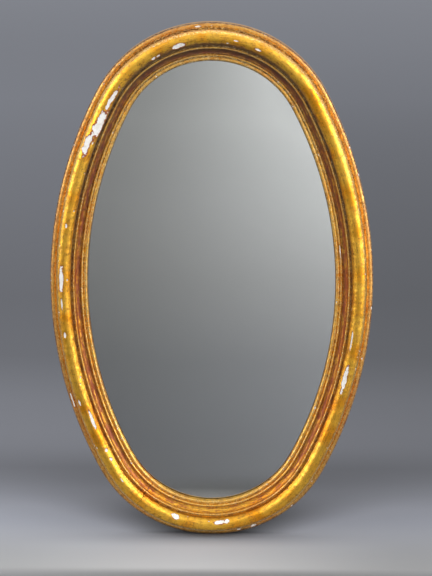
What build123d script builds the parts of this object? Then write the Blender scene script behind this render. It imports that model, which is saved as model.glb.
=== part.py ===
"""Oval wall mirror in a gilded, moulded wooden frame, built up the way a frame maker builds one.

All lengths are in millimetres. The mirror hangs upright: +Z is up, -Y is the front and the frame's
flat back lies on the wall plane y = 0. The origin is the hanging point, where the pivot of the
hanger stands over the back of the frame. The oval is drawn from four centres: two tight arcs close
the top and bottom, two long arcs make the sides, and every outline in the part is offset from it.

The frame has two glued layers. The front layer is the moulding, in four quarters that meet on the
axes of the oval with loose splines across the joints. The back layer is a flat ring in four pieces
with pegged half laps, placed so that no joint lies behind another. Its wider opening leaves the
rebate that holds the glass, the silvering, a sheet of paper and three backing boards.
"""

import math
import os

from build123d import *

# The oval, measured over the outer edge of the frame.
overall_height = 800.0
overall_width = 492.0
end_arc_radius = 195.0

# The two layers of the frame.
moulding_width = 57.5
back_ring_thickness = 14.0
rebate_width = 8.0
back_edge_chamfer = 2.0

# The moulding, from the outer edge inwards. A reach is measured inwards from the outer edge, and a
# rise is measured forwards from the joint between the two layers. The torus is the half round that
# fills the width which the other members leave.
band_reach = 9.4
band_crest_reach = 5.6
band_rise = 5.0
band_quirk_rise = 3.0
band_shoulder_share = 0.3
quirk_depth = 1.0
quirk_reach = 1.2
torus_foot_rise = 15.2
torus_undercut = 0.9
inner_quirk_rise = 13.0
inner_quirk_width = 0.9
fillet_width = 4.4
fillet_rise = 15.8
fillet_shoulder_rise = 14.2
cove_radius = 7.4
bead_width = 4.8
bead_rise = 8.6
bead_quirk_depth = 0.6
lip_width = 6.7
lip_crest_rise = 8.0
lip_edge_rise = 4.4

# Loose splines across the four joints of the moulding.
spline_thickness = 4.0
spline_width = 25.0
spline_length = 24.0
spline_reach = 14.5
spline_rise = 5.5
spline_clearance = 0.1

# Pegged half laps between the pieces of the back ring.
lap_length = 36.0
peg_diameter = 7.0
peg_clearance = 0.05
peg_sink = 0.2

# What lies in the rebate, from the front to the back. A spread is the angle from the middle of an
# arc to a shim on either side of it.
glass_thickness = 3.0
silvering_thickness = 0.2
paper_thickness = 0.4
board_thickness = 6.0
board_count = 3
board_gap = 0.4
glass_edge_gap = 2.0
paper_edge_gap = 1.0
board_edge_gap = 1.0
shim_length = 26.0
shim_clearance = 0.1
shim_end_spreads = (30.0,)
shim_side_spreads = (12.0,)

# Brads that hold the boards in the rebate, with their spreads from the middle of an arc.
brad_diameter = 1.8
brad_head_diameter = 2.6
brad_head_length = 0.8
brad_length = 20.0
brad_grip = 10.0
brad_clearance = 0.05
brad_end_spreads = (14.0, 38.0)
brad_side_spreads = (0.0, 17.0)

# The hanger: a three-hole plate with a rolled knuckle that carries a D ring.
hanger_drop = 24.0
plate_thickness = 1.5
plate_pad_radius = 5.4
plate_hole_spread = 13.0
plate_upper_hole_drop = 9.0
plate_lower_hole_drop = 19.5
plate_neck_width = 11.0
knuckle_clearance = 0.08
knuckle_mouth_width = 1.6
knuckle_mouth_turn = 35.0
ring_seat_gap = 0.3
ring_wire_diameter = 3.0
ring_width = 20.0
ring_length = 18.0
ring_corner_radius = 3.5

# Slotted countersunk wood screws of the hanger.
screw_diameter = 3.4
screw_head_diameter = 7.0
screw_head_depth = 2.0
screw_length = 12.5
screw_tip_length = 3.5
screw_tip_radius = 0.2
screw_slot_turns = (20.0, -35.0, 70.0)
screw_slot_width = 0.9
screw_slot_depth = 0.9
screw_clearance = 0.05

# Worked out from the sizes above.
half_height = overall_height / 2
half_width = overall_width / 2
end_centre_height = half_height - end_arc_radius
side_arc_radius = (end_centre_height**2 + half_width**2 - end_arc_radius**2) / (
    2 * (half_width - end_arc_radius)
)
side_centre_reach = side_arc_radius - half_width
arc_join_angle = math.degrees(math.atan2(end_centre_height, side_centre_reach))
oval_centre_height = hanger_drop - half_height
rebate_reach = moulding_width - rebate_width
lap_angle = math.degrees(lap_length / (end_arc_radius - rebate_reach / 2))

forwards = (0, -1, 0)
parts = {}


class OvalArc:
    """One of the four arcs of the oval: where its centre is, and its radius at the outer edge."""

    def __init__(self, centre_x, centre_z, radius):
        self.centre_x = centre_x
        self.centre_z = centre_z
        self.radius = radius

    def point(self, angle, reach, rise=0.0):
        """A point on this arc, reach inside the outer edge and rise in front of the wall plane."""
        turn = math.radians(angle)
        radius = self.radius - reach
        return Vector(
            self.centre_x + radius * math.cos(turn),
            -rise,
            oval_centre_height + self.centre_z + radius * math.sin(turn),
        )

    def outward(self, angle):
        """The direction square to the oval, away from its middle."""
        turn = math.radians(angle)
        return Vector(math.cos(turn), 0, math.sin(turn))

    def turned(self, section, start_angle, end_angle):
        """The solid that a section leaves as it turns along this arc.

        The section is drawn with its x as the reach inwards and its y as the rise forwards."""
        outward = self.outward(start_angle)
        centre = Vector(self.centre_x, 0, oval_centre_height + self.centre_z)
        edge = centre + outward * self.radius
        plane = Plane(origin=edge, x_dir=-outward, z_dir=(-outward).cross(Vector(forwards)))
        return revolve(
            plane * section,
            axis=Axis(centre, forwards),
            revolution_arc=end_angle - start_angle,
        )


top_arc = OvalArc(0, end_centre_height, end_arc_radius)
bottom_arc = OvalArc(0, -end_centre_height, end_arc_radius)
right_arc = OvalArc(-side_centre_reach, 0, side_arc_radius)
left_arc = OvalArc(side_centre_reach, 0, side_arc_radius)


def oval_plate(reach, rise, thickness):
    """A flat oval plate that lies reach inside the outer edge, from rise forwards."""
    plane = Plane(origin=(0, 0, oval_centre_height), x_dir=(1, 0, 0), z_dir=forwards)
    outline = [
        plane * CenterArc(
            (arc.centre_x, arc.centre_z),
            arc.radius - reach,
            middle - half_turn,
            2 * half_turn,
        )
        for arc, middle, half_turn in (
            (right_arc, 0, arc_join_angle),
            (top_arc, 90, 90 - arc_join_angle),
            (left_arc, 180, arc_join_angle),
            (bottom_arc, 270, 90 - arc_join_angle),
        )
    ]
    face = make_face(outline)
    return Pos(0, -rise, 0) * extrude(face, amount=thickness, dir=forwards)


def across_the_middle(solid):
    """The mirror image of a solid on the other side of the upright middle plane."""
    return mirror(solid, about=Plane.YZ)


def upside_down(solid):
    """The mirror image of a solid below the level plane through the middle of the oval."""
    return mirror(solid, about=Plane.XY.offset(oval_centre_height))


def moulding_section():
    """The section of the moulding, from the outer band over the torus to the sight edge."""
    base = back_ring_thickness
    torus_start_reach = band_reach + quirk_reach - torus_undercut
    inner_members = (inner_quirk_width, fillet_width, cove_radius, bead_width, lip_width)
    torus_end_reach = moulding_width - sum(inner_members)
    torus_radius = (torus_end_reach - torus_start_reach) / 2
    torus_foot = base + torus_foot_rise
    fillet_start = torus_end_reach + inner_quirk_width
    fillet_end = fillet_start + fillet_width
    cove_end = fillet_end + cove_radius
    cove_floor = base + fillet_shoulder_rise - cove_radius
    bead_foot = cove_floor - bead_quirk_depth
    bead_end = cove_end + bead_width
    outer_edge = (0, base)
    band_crest = (band_crest_reach, base + band_rise)
    band_end = (band_reach, base + band_quirk_rise)
    quirk = (band_reach + quirk_reach, base + band_quirk_rise - quirk_depth)
    torus_start = (torus_start_reach, torus_foot)
    torus_crest = (torus_start_reach + torus_radius, torus_foot + torus_radius)
    torus_end = (torus_end_reach, torus_foot)
    sight_corner = (moulding_width, base)
    band_bend = 1 / math.sqrt(2)
    edges = [
        ThreePointArc(
            outer_edge,
            (band_crest_reach * (1 - band_bend), base + band_rise * band_bend),
            band_crest,
        ),
        ThreePointArc(
            band_crest,
            (
                (band_crest_reach + band_reach) / 2,
                base + band_rise - (band_rise - band_quirk_rise) * band_shoulder_share,
            ),
            band_end,
        ),
        Line(band_end, quirk),
        Line(quirk, torus_start),
        ThreePointArc(torus_start, torus_crest, torus_end),
        Line(torus_end, (torus_end_reach, base + inner_quirk_rise)),
        Line((torus_end_reach, base + inner_quirk_rise), (fillet_start, base + inner_quirk_rise)),
        ThreePointArc(
            (fillet_start, base + inner_quirk_rise),
            ((fillet_start + fillet_end) / 2, base + fillet_rise),
            (fillet_end, base + fillet_shoulder_rise),
        ),
        ThreePointArc(
            (fillet_end, base + fillet_shoulder_rise),
            (
                cove_end - cove_radius * band_bend,
                base + fillet_shoulder_rise - cove_radius * band_bend,
            ),
            (cove_end, cove_floor),
        ),
        Line((cove_end, cove_floor), (cove_end, bead_foot)),
        ThreePointArc(
            (cove_end, bead_foot),
            ((cove_end + bead_end) / 2, base + bead_rise),
            (bead_end, bead_foot),
        ),
        ThreePointArc(
            (bead_end, bead_foot),
            ((bead_end + moulding_width) / 2, base + lip_crest_rise),
            (moulding_width, base + lip_edge_rise),
        ),
        Line((moulding_width, base + lip_edge_rise), sight_corner),
        Line(sight_corner, outer_edge),
    ]
    return make_face(edges)


def spline_block(length, width, thickness, at_side):
    """A block across a joint of the moulding, at the top of the oval or at its right side."""
    reach = spline_reach + spline_width / 2
    rise = back_ring_thickness + spline_rise + spline_thickness / 2
    if at_side:
        return Pos(right_arc.point(0, reach, rise)) * Box(width, thickness, length)
    return Pos(top_arc.point(90, reach, rise)) * Box(length, thickness, width)


def make_moulding():
    """The four quarters of the moulding, slotted at both ends, and the splines in the slots."""
    section = moulding_section()
    quarter = right_arc.turned(section, 0, arc_join_angle) + top_arc.turned(
        section, arc_join_angle, 90
    )
    slot = (spline_length, spline_width, spline_thickness)
    quarter -= spline_block(*slot, at_side=False)
    quarter -= spline_block(*slot, at_side=True)
    parts["moulding_upper_right"] = quarter
    parts["moulding_upper_left"] = across_the_middle(quarter)
    parts["moulding_lower_right"] = upside_down(quarter)
    parts["moulding_lower_left"] = across_the_middle(upside_down(quarter))

    key = [size - 2 * spline_clearance for size in slot]
    top_key = spline_block(*key, at_side=False)
    side_key = spline_block(*key, at_side=True)
    parts["joint_splines"] = Compound(
        children=[top_key, upside_down(top_key), side_key, across_the_middle(side_key)]
    )


def ring_section(inner_reach, low_rise, high_rise, outer_reach=0.0, chamfer_size=0.0):
    """A rectangular ring section, with a chamfer on its outer back edge where one is asked for."""
    corners = [
        (outer_reach + chamfer_size, low_rise),
        (inner_reach, low_rise),
        (inner_reach, high_rise),
        (outer_reach, high_rise),
    ]
    if chamfer_size:
        corners.append((outer_reach, low_rise + chamfer_size))
    return make_face(Polyline(*corners, close=True))


def spread_places(end_spreads, side_spreads):
    """Arcs and angles on both sides of the middle of each arc, or once at the middle for a zero."""
    places = []
    for arc, middle, spreads in (
        (top_arc, 90, end_spreads),
        (bottom_arc, 270, end_spreads),
        (right_arc, 0, side_spreads),
        (left_arc, 180, side_spreads),
    ):
        for spread in spreads:
            places += [(arc, angle) for angle in sorted({middle - spread, middle + spread})]
    return places


def brad_places():
    """Each brad's arc and angle. None stands at the top middle, where the hanger's screws are."""
    return spread_places(brad_end_spreads, brad_side_spreads)


def across_angle(angle):
    """The angle of the same place on the other side of the upright middle plane."""
    return 180 - angle


def along_outward(arc, angle, reach, rise):
    """A location on an arc whose own Z points outwards."""
    return Plane(
        origin=arc.point(angle, reach, rise), x_dir=(0, 1, 0), z_dir=arc.outward(angle)
    ).location


def brad_rise():
    """How far in front of the wall plane a brad lies, with its head resting on the boards."""
    board_back = (
        back_ring_thickness
        - glass_thickness
        - silvering_thickness
        - paper_thickness
        - board_thickness
    )
    return board_back - brad_head_diameter / 2 - brad_clearance


def make_back_ring():
    """The four pieces of the back ring, with their half laps, peg holes, brad holes and screw holes."""
    whole = ring_section(rebate_reach, 0, back_ring_thickness, chamfer_size=back_edge_chamfer)
    back_half = ring_section(
        rebate_reach, 0, back_ring_thickness / 2, chamfer_size=back_edge_chamfer
    )
    join = arc_join_angle
    lap_end = join + lap_angle

    top = top_arc.turned(whole, join, across_angle(join))
    top -= top_arc.turned(back_half, join, lap_end)
    top -= top_arc.turned(back_half, across_angle(lap_end), across_angle(join))
    right = right_arc.turned(whole, -join, join)
    right += top_arc.turned(back_half, join, lap_end)
    right += bottom_arc.turned(back_half, -lap_end, -join)

    peg_reach = rebate_reach / 2
    peg_angle = join + lap_angle / 2
    hole_length = 2 * back_ring_thickness
    peg_places = [
        (top_arc, peg_angle),
        (top_arc, across_angle(peg_angle)),
        (bottom_arc, -peg_angle),
        (bottom_arc, across_angle(-peg_angle)),
    ]
    peg_holes = [
        Pos(arc.point(angle, peg_reach))
        * Rot(90, 0, 0)
        * Cylinder(peg_diameter / 2 + peg_clearance, hole_length)
        for arc, angle in peg_places
    ]
    brad_holes = [
        along_outward(arc, angle, rebate_reach, brad_rise())
        * Cylinder(brad_diameter / 2 + brad_clearance, 2 * brad_grip)
        for arc, angle in brad_places()
    ]
    rings = {
        "back_ring_top": top,
        "back_ring_bottom": upside_down(top),
        "back_ring_right": right,
        "back_ring_left": across_the_middle(right),
    }
    for name, ring in rings.items():
        for hole in peg_holes + brad_holes:
            if ring.bounding_box().overlaps(hole.bounding_box()):
                ring -= hole
        parts[name] = ring

    for x, z in screw_places():
        parts["back_ring_top"] -= Pos(x, plate_thickness, z) * screw_hole()

    peg_length = back_ring_thickness - peg_sink
    parts["lap_pegs"] = Compound(
        children=[
            Pos(arc.point(angle, peg_reach, peg_sink + peg_length / 2))
            * Rot(90, 0, 0)
            * Cylinder(peg_diameter / 2, peg_length)
            for arc, angle in peg_places
        ]
    )


def make_rebate_filling():
    """The glass, its silvering, the paper and the boards, from the front of the rebate backwards."""
    rise = back_ring_thickness - glass_thickness
    parts["mirror_glass"] = oval_plate(rebate_reach + glass_edge_gap, rise, glass_thickness)
    shim_section = ring_section(
        rebate_reach + glass_edge_gap - shim_clearance,
        rise,
        back_ring_thickness,
        outer_reach=rebate_reach + shim_clearance,
    )
    shims = []
    for arc, angle in spread_places(shim_end_spreads, shim_side_spreads):
        half_turn = math.degrees(shim_length / 2 / (arc.radius - rebate_reach))
        shims.append(arc.turned(shim_section, angle - half_turn, angle + half_turn))
    parts["edge_shims"] = Compound(children=shims)

    rise -= silvering_thickness
    parts["silvering"] = oval_plate(rebate_reach + glass_edge_gap, rise, silvering_thickness)
    rise -= paper_thickness
    parts["backing_paper"] = oval_plate(rebate_reach + paper_edge_gap, rise, paper_thickness)
    rise -= board_thickness
    panel = oval_plate(rebate_reach + board_edge_gap, rise, board_thickness)
    panel_width = overall_width - 2 * (rebate_reach + board_edge_gap)
    board_width = panel_width / board_count
    for number in range(board_count):
        middle = (number + 0.5) * board_width - panel_width / 2
        strip = Pos(middle, 0, oval_centre_height) * Box(
            board_width - board_gap, overall_height, overall_height
        )
        parts[f"backing_board_{number + 1}"] = panel & strip


def make_brads():
    """The brads, driven outwards into the wall of the rebate over the back of the boards."""
    shank_length = brad_length - brad_head_length
    grip = brad_grip - brad_clearance
    shank = Pos(0, 0, grip - shank_length / 2) * Cylinder(brad_diameter / 2, shank_length)
    head_middle = grip - shank_length - brad_head_length / 2
    brad = shank + Pos(0, 0, head_middle) * Cylinder(brad_head_diameter / 2, brad_head_length)
    parts["brads"] = Compound(
        children=[
            along_outward(arc, angle, rebate_reach, brad_rise()) * brad
            for arc, angle in brad_places()
        ]
    )


def screw_places():
    """The screws of the hanger, as x and z from the hanging point."""
    return [
        (-plate_hole_spread, -plate_upper_hole_drop),
        (plate_hole_spread, -plate_upper_hole_drop),
        (0, -plate_lower_hole_drop),
    ]


def countersunk_head(clearance=0.0):
    """A screw head's cone, with its wide end up and its top at the height zero."""
    return Cone(
        screw_diameter / 2 + clearance,
        screw_head_diameter / 2 + clearance,
        screw_head_depth,
        align=(Align.CENTER, Align.CENTER, Align.MAX),
    )


def screw_hole():
    """The space of a screw, from the back of its head at y = 0 forwards, with its clearance."""
    hole = Cylinder(
        screw_diameter / 2 + screw_clearance,
        screw_length + screw_clearance,
        align=(Align.CENTER, Align.CENTER, Align.MAX),
    )
    return Rot(-90, 0, 0) * (hole + countersunk_head(screw_clearance))


def make_hanger():
    """The plate with its knuckle, the D ring that turns in it, and the three screws."""
    backwards = (0, 1, 0)
    wire_radius = ring_wire_diameter / 2
    pivot = plate_thickness + ring_seat_gap + wire_radius
    bore_radius = wire_radius + knuckle_clearance
    knuckle_radius = bore_radius + plate_thickness
    back_plane = Plane(origin=(0, 0, 0), x_dir=(-1, 0, 0), z_dir=backwards)
    at_pivot = Pos(0, pivot, 0)
    along_pivot = at_pivot * Rot(0, 90, 0)

    pads = [Pos(-x, z) * Circle(plate_pad_radius) for x, z in screw_places()]
    outline = make_hull([edge for pad in pads for edge in pad.edges()])
    neck = Pos(0, -plate_upper_hole_drop / 2) * Rectangle(plate_neck_width, plate_upper_hole_drop)
    plate = extrude(back_plane * (outline + neck), amount=plate_thickness, dir=backwards)
    plate += along_pivot * Cylinder(knuckle_radius, plate_neck_width)
    plate -= along_pivot * Cylinder(bore_radius, 2 * plate_neck_width)
    plate -= (
        at_pivot
        * Rot(knuckle_mouth_turn, 0, 0)
        * Pos(0, knuckle_radius, 0)
        * Box(2 * plate_neck_width, 2 * knuckle_radius, knuckle_mouth_width)
    )
    for x, z in screw_places():
        plate -= Pos(x, plate_thickness, z) * screw_hole()
    parts["hanger_plate"] = plate

    half_width_of_ring = ring_width / 2
    path = FilletPolyline(
        (half_width_of_ring, 0),
        (half_width_of_ring, -ring_length),
        (-half_width_of_ring, -ring_length),
        (-half_width_of_ring, 0),
        radius=ring_corner_radius,
        close=True,
    )
    section = Plane(origin=path @ 0, z_dir=path % 0) * Circle(wire_radius)
    ring_plane = Plane(origin=(0, pivot, 0), x_dir=(1, 0, 0), z_dir=forwards)
    parts["hanger_ring"] = ring_plane * sweep(section, path=path)

    shank_length = screw_length - screw_head_depth - screw_tip_length
    shank = Pos(0, 0, -screw_head_depth - shank_length / 2) * Cylinder(
        screw_diameter / 2, shank_length
    )
    tip = Pos(0, 0, -screw_length + screw_tip_length / 2) * Cone(
        screw_tip_radius, screw_diameter / 2, screw_tip_length
    )
    slot = Box(2 * screw_head_diameter, screw_slot_width, 2 * screw_slot_depth)
    screw = countersunk_head() + shank + tip - slot
    parts["hanger_screws"] = Compound(
        children=[
            Pos(x, plate_thickness, z) * Rot(-90, 0, 0) * Rot(0, 0, turn) * screw
            for (x, z), turn in zip(screw_places(), screw_slot_turns)
        ]
    )


make_moulding()
make_back_ring()
make_rebate_filling()
make_brads()
make_hanger()

os.makedirs("parts", exist_ok=True)
for name, shape in parts.items():
    export_step(shape, f"parts/{name}.step")
    solids = shape.solids()
    print(f"{name}: {len(solids)} solids, {sum(s.volume for s in solids) / 1000:.2f} cm3")
print(f"side arc radius {side_arc_radius:.1f}, arcs join at {arc_join_angle:.2f} degrees")
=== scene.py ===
# %% [markdown]
# # An oval giltwood mirror
# This lesson dresses a finished construction model of an oval wall mirror. The construction gives
# every piece its size and place. Here the front gets its water gilding, the glass its silver, the
# back its old pine, and the whole a quiet studio. Blender works in metres, +Z is up, and the
# mirror faces -Y. The origin is where the hanger sits on the flat back of the frame.

# %% Load the construction
import math

import bpy
import numpy as np
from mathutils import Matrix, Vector, noise


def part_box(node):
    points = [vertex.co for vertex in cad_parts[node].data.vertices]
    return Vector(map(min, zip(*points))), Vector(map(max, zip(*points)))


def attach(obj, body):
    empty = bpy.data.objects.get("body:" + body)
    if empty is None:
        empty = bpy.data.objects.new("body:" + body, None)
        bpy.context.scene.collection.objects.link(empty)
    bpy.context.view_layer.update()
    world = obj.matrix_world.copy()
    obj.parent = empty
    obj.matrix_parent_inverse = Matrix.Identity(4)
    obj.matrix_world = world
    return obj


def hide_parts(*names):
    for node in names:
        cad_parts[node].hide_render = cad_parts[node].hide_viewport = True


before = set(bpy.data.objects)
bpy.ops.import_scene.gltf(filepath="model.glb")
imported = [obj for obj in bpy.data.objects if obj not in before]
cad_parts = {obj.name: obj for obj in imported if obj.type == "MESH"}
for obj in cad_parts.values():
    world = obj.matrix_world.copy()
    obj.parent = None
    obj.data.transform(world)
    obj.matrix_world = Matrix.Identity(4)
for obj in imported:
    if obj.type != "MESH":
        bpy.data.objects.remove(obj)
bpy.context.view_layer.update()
print("nodes:", len(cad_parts))

# %% [markdown]
# ## The oval and its four centres
# A frame maker draws this oval with a compass: two tight arcs close the top and bottom, two long
# arcs make the sides, and each pair shares a tangent where it meets. Every line of the moulding
# keeps the same four centres and only changes its radius. So all that is needed later is the half
# height, the half width and the radius of the tight arcs. The first two are read off the
# construction, where one quarter of the moulding spans exactly half of each.

# %% Measure the oval
quarter_low, quarter_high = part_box("moulding_upper_right")
half_width = quarter_high.x
half_height = quarter_high.z - quarter_low.z
middle_height = quarter_low.z
moulding_back = quarter_high.y
end_radius = 0.195
end_offset = half_height - end_radius
side_radius = (end_offset**2 + half_width**2 - end_radius**2) / (2 * (half_width - end_radius))
side_offset = side_radius - half_width
join_angle = math.atan2(end_offset, side_offset)
end_centre = Vector((0, 0, middle_height + end_offset))
side_centre = Vector((-side_offset, 0, middle_height))
quarter_length = side_radius * join_angle + end_radius * (math.pi / 2 - join_angle)
join_degrees = math.degrees(join_angle)
print(f"side arcs turn at {side_radius:.4f} m and join the ends at {join_degrees:.1f} degrees")

# %% [markdown]
# ## The camera first
# The photograph was taken with a long lens from a little above the middle of the mirror, almost
# straight in front. Placing the camera before modelling means that every later step can be judged
# from the right place. The lens is written as a focal length in pixels of a 576 pixel high image,
# because that is how it was measured. Blender fits its sensor to the longer side of the image.

# %% Place the camera
image_height = 576
focal_pixels = 1958.0
camera_distance = 3.0
camera_elevation = math.radians(13.0)
camera_azimuth = math.radians(1.1)
camera_target = Vector((0.0066, 0, middle_height - 0.0071))

camera_data = bpy.data.cameras.new("camera")
camera_data.sensor_width = 36.0
camera_data.lens = focal_pixels * camera_data.sensor_width / image_height
camera = bpy.data.objects.new("camera", camera_data)
bpy.context.scene.collection.objects.link(camera)
camera.location = camera_target + camera_distance * Vector((
    math.sin(camera_azimuth) * math.cos(camera_elevation),
    -math.cos(camera_azimuth) * math.cos(camera_elevation),
    math.sin(camera_elevation),
))
camera.rotation_euler = (camera_target - camera.location).to_track_quat("-Z", "Y").to_euler()
bpy.context.scene.camera = camera
print(f"lens {camera_data.lens:.0f} mm")

# %% [markdown]
# ## Small helpers for modelling by operators
# Operators act on whatever is selected, and loading the construction leaves all of it selected.
# So each step starts by selecting exactly one object. A chain of edges is drawn like a pen line:
# a tiny plane is merged into one vertex, and that vertex is extruded from point to point.

# %% Selection, pen and modifier helpers
def take(piece):
    """Selects one object alone and makes it active."""
    bpy.ops.object.select_all(action="DESELECT")
    piece.select_set(True)
    bpy.context.view_layer.objects.active = piece
    return piece


def draw_line(name, points):
    """A chain of edges through the points, drawn by extruding one vertex."""
    bpy.ops.object.select_all(action="DESELECT")
    bpy.ops.mesh.primitive_plane_add(size=0.001, location=points[0])
    piece = bpy.context.object
    piece.name = piece.data.name = name
    bpy.ops.object.mode_set(mode="EDIT")
    bpy.ops.mesh.merge(type="CENTER")
    for here, there in zip(points, points[1:]):
        bpy.ops.mesh.extrude_region_move(TRANSFORM_OT_translate={"value": there - here})
    bpy.ops.object.mode_set(mode="OBJECT")
    bpy.ops.object.transform_apply(location=True, rotation=True, scale=True)
    return piece


def arc_points(start, through, end, steps):
    """Points on the arc from start through a middle point to end, as pairs, without the start."""
    a, b, c = (complex(*p) for p in (start, through, end))
    ratio = (c - a) / (b - a)
    centre = a + (b - a) * (ratio - abs(ratio) ** 2) / (2j * ratio.imag)
    turn_to_end = np.angle((c - centre) / (a - centre))
    turn_to_middle = np.angle((b - centre) / (a - centre))
    if turn_to_end * turn_to_middle < 0 or abs(turn_to_middle) > abs(turn_to_end):
        turn_to_end -= math.copysign(2 * math.pi, turn_to_end)
    shares = np.arange(1, steps + 1) / steps
    found = centre + (a - centre) * np.exp(1j * turn_to_end * shares)
    return [(p.real, p.imag) for p in found]


def apply_modifier(piece, kind, **settings):
    """Adds a modifier with these settings and applies it at once."""
    take(piece)
    modifier = piece.modifiers.new(kind.lower(), kind)
    for name, value in settings.items():
        setattr(modifier, name, value)
    bpy.ops.object.modifier_apply(modifier=modifier.name)


# %% [markdown]
# ## The section of the moulding
# From the outer edge inwards the section has a rounded band, a deep quirk, a big half round called
# a torus, a second quirk, a small fillet, a hollow cove, a bead and the lip that holds the glass.
# Each stretch is written as a reach (how far in from the outer edge) and a rise (how far in front
# of the flat back). The mesh is fine, about 1 mm between points, because the chips and the hand
# work of the gesso are made in it later.

# %% Draw the section
MM = 0.001
back_rise = -moulding_back / MM
flat_underside_gap = 0.1

section = [(0.0, back_rise + flat_underside_gap)]
band_crest, band_end = (5.6, back_rise + 5.0), (9.4, back_rise + 3.0)
outer_quirk = (10.6, back_rise + 2.0)
torus_start, torus_crest, torus_end = (9.7, 29.2), (21.5, 41.0), (33.3, 29.2)
inner_quirk, fillet_start = (33.3, 27.0), (34.2, 27.0)
fillet_top, fillet_end = (36.4, 29.8), (38.6, 28.2)
cove_middle, cove_end = (40.77, 22.97), (46.0, 20.8)
bead_start, bead_crest, bead_end = (46.0, 20.2), (48.4, 22.6), (50.8, 20.2)
lip_crest, lip_edge = (54.15, 22.0), (57.5, 18.4)
sight_corner = (57.5, back_rise + flat_underside_gap)


def straight(end, steps):
    """Adds points along a straight stretch of the section."""
    start = section[-1]
    for share in np.arange(1, steps + 1) / steps:
        section.append((
            start[0] + (end[0] - start[0]) * share,
            start[1] + (end[1] - start[1]) * share,
        ))


def curved(through, end, steps):
    """Adds points along an arc of the section."""
    section.extend(arc_points(section[-1], through, end, steps))


curved((1.64, back_rise + 3.54), band_crest, 9)
curved((7.5, back_rise + 4.4), band_end, 4)
straight(outer_quirk, 2)
straight(torus_start, 13)
curved(torus_crest, torus_end, 38)
straight(inner_quirk, 2)
straight(fillet_start, 1)
curved(fillet_top, fillet_end, 6)
curved(cove_middle, cove_end, 12)
straight(bead_start, 1)
curved(bead_crest, bead_end, 8)
curved(lip_crest, lip_edge, 9)
straight(sight_corner, 4)
straight(section[0], 5)
print(len(section), "points in the section")

# %% [markdown]
# ## Paint notes along the section
# Wear and dirt follow the shape: burnishing and dusting rub the leaf off the crests, and old dirt
# stays in the quirks, together with painted shade there. These notes say, for a reach along the
# section, how much of the red bole shows through, how much dirt and painted shade lies there and
# how thin the leaf has worn. They are stored on the mesh as attributes, next to the distance across
# the section, so that the material can read them.

# %% Note rubbing, dirt with painted shade, and thin leaf
paint_notes = (
    # reach, bole showing, dirt and painted shade, leaf worn thin
    (0.0, 0.30, 1.00, 0.70),
    (1.2, 0.22, 0.60, 0.80),
    (2.4, 0.15, 0.12, 0.70),
    (6.0, 0.08, 0.02, 0.60),
    (8.8, 0.09, 0.15, 0.50),
    (10.2, 0.10, 0.42, 0.45),
    (11.0, 0.10, 0.28, 0.40),
    (12.6, 0.08, 0.05, 0.35),
    (15.0, 0.06, 0.00, 0.15),
    (21.0, 0.04, 0.00, 0.05),
    (28.0, 0.08, 0.05, 0.10),
    (32.0, 0.16, 0.24, 0.15),
    (33.6, 0.28, 0.66, 0.20),
    (34.6, 0.20, 0.35, 0.35),
    (36.4, 0.08, 0.00, 0.55),
    (38.0, 0.20, 0.10, 0.40),
    (39.6, 0.36, 0.30, 0.15),
    (43.0, 0.40, 0.34, 0.15),
    (45.6, 0.34, 0.48, 0.20),
    (46.6, 0.14, 0.15, 0.35),
    (48.4, 0.05, 0.00, 0.50),
    (50.2, 0.10, 0.18, 0.40),
    (50.9, 0.18, 0.46, 0.30),
    (52.0, 0.08, 0.08, 0.40),
    (54.2, 0.04, 0.00, 0.50),
    (56.8, 0.12, 0.20, 0.40),
    (57.5, 0.20, 0.70, 0.20),
)


def add_value(piece, name, values):
    """Stores one number per vertex under a name."""
    attribute = piece.data.attributes.new(name, "FLOAT", "POINT")
    attribute.data.foreach_set("value", np.asarray(values, np.float32))


def add_vector(piece, name, values):
    """Stores one vector per vertex under a name."""
    attribute = piece.data.attributes.new(name, "FLOAT_VECTOR", "POINT")
    attribute.data.foreach_set("vector", np.asarray(values, np.float32).ravel())


def vertex_places(piece):
    """All vertex coordinates of a piece as rows of an array."""
    places = np.empty(len(piece.data.vertices) * 3)
    piece.data.vertices.foreach_get("co", places)
    return places.reshape(-1, 3)


section_pairs = np.array(section)
steps_across = np.hypot(*np.diff(section_pairs, axis=0).T)
across_at_point = np.concatenate(([0.0], np.cumsum(steps_across))) * MM
note_reach, *notes = np.array(paint_notes).T


def note_section(piece):
    """Stores the distance across and the paint notes on the drawn section."""
    places = vertex_places(piece)
    reach = (half_width - places[:, 0]) / MM
    rise = -places[:, 1] / MM
    apart = np.hypot(reach[:, None] - section_pairs[:, 0], rise[:, None] - section_pairs[:, 1])
    nearest = apart.argmin(axis=1)
    add_value(piece, "across", across_at_point[nearest])
    for name, note in zip(("bole", "dirt", "thin"), notes):
        add_value(piece, name, np.interp(reach, note_reach, note))


# %% [markdown]
# ## Spin the section round the oval
# The frame maker's compass becomes the Spin operator: the section turns about the side centre up
# to the joint of the arcs, and then on about the end centre to the top. One quarter is enough,
# because the other three are mirror images. Mirroring turns a mesh inside out, so each copy has
# its normals set right again.

# %% Spin one quarter and mirror it
side_steps = 300
end_steps = 205
same_point = 0.001 * MM


def face_out(piece):
    """Recalculates the normals, then flips them if the foremost face looks backwards."""
    take(piece)
    bpy.ops.object.mode_set(mode="EDIT")
    bpy.ops.mesh.select_all(action="SELECT")
    bpy.ops.mesh.remove_doubles(threshold=same_point)
    bpy.ops.mesh.normals_make_consistent(inside=False)
    bpy.ops.object.mode_set(mode="OBJECT")
    foremost = min(piece.data.polygons, key=lambda face: face.center.y)
    if foremost.normal.y > 0:
        bpy.ops.object.mode_set(mode="EDIT")
        bpy.ops.mesh.flip_normals()
        bpy.ops.object.mode_set(mode="OBJECT")


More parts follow.
